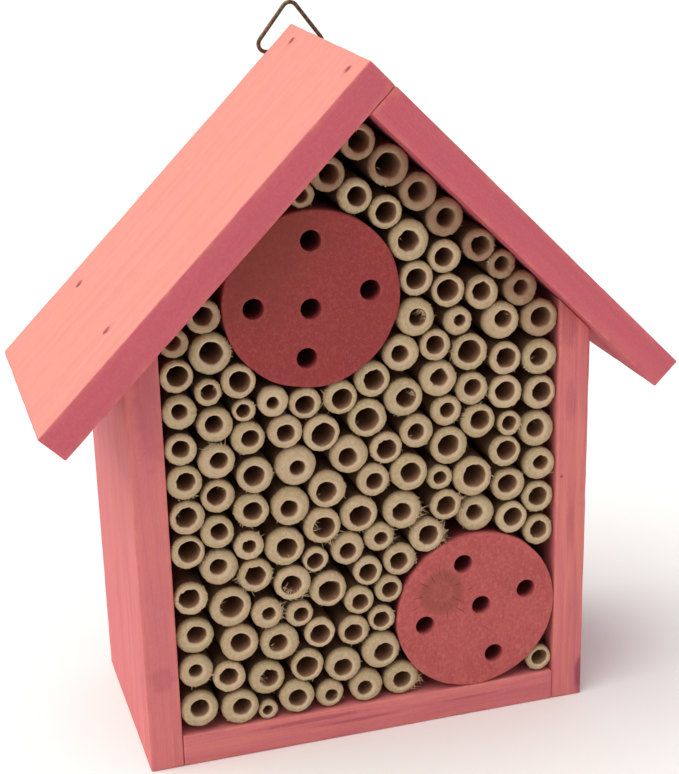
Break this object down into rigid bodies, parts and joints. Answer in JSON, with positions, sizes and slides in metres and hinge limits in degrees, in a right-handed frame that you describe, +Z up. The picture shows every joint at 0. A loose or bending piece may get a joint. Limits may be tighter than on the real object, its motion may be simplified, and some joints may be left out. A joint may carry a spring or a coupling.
{
  "type": "insect hotel",
  "caption": "Small stained wooden insect hotel with a pitched roof, an open front packed with reed tubes and drilled log slices, and a folding wire hanger at the back.",
  "frame": {"origin": "centre of the base, midway between the outer faces of the side walls and between the walls' front and back edges", "axes": "+X to the right as seen from the front, +Y from the open front towards the back, +Z up; the open front faces -Y"},
  "size_m": [0.1876, 0.0833, 0.2117],
  "materials": {
    "roof_stain_light": "softwood board with a thin salmon-pink wood stain, sun-bleached, grain showing",
    "roof_stain": "softwood board with a thin rose-red wood stain, grain showing",
    "board_stain": "softwood board with a thin rose-red wood stain, matt, streaked",
    "panel_stain": "softwood board with a thin rose-red wood stain, matt",
    "log_stain": "sawn end grain of a branch slice, stained dark rose-red, matt, with fine cracks",
    "reed": "dry cut reed, straw coloured, paler at the bore, sawn ends a little frayed",
    "brad_steel": "dull steel wire brads, slightly rusted",
    "hanger_bronze": "dark antique bronze plating, worn"
  },
  "bodies": {
    "house": {"roof_left": "roof_stain_light", "roof_right": "roof_stain", "wall_left": "board_stain", "wall_right": "board_stain", "floor_board": "board_stain", "back_panel": "panel_stain", "log_upper": "log_stain", "log_lower": "log_stain", "tube_column_01": "reed", "tube_column_02": "reed", "tube_column_03": "reed", "tube_column_04": "reed", "tube_column_05": "reed", "tube_column_06": "reed", "tube_column_07": "reed", "tube_column_08": "reed", "tube_column_09": "reed", "tube_column_10": "reed", "tube_column_11": "reed", "tube_column_12": "reed", "ridge_brads": "brad_steel", "eave_brads_left": "brad_steel", "eave_brads_right": "brad_steel", "floor_pins": "brad_steel", "hanger_strap": "hanger_bronze", "hanger_screw": "hanger_bronze"},
    "hanger_ring": {"hanger_ring": "hanger_bronze"}
  },
  "joints": [
    {"name": "hanger_ring_hinge", "type": "hinge", "parent": "house", "child": "hanger_ring", "pos_m": [0, 0.03743, 0.1965], "axis": [-1, 0, 0], "range_deg": [0, 165]}
  ]
}
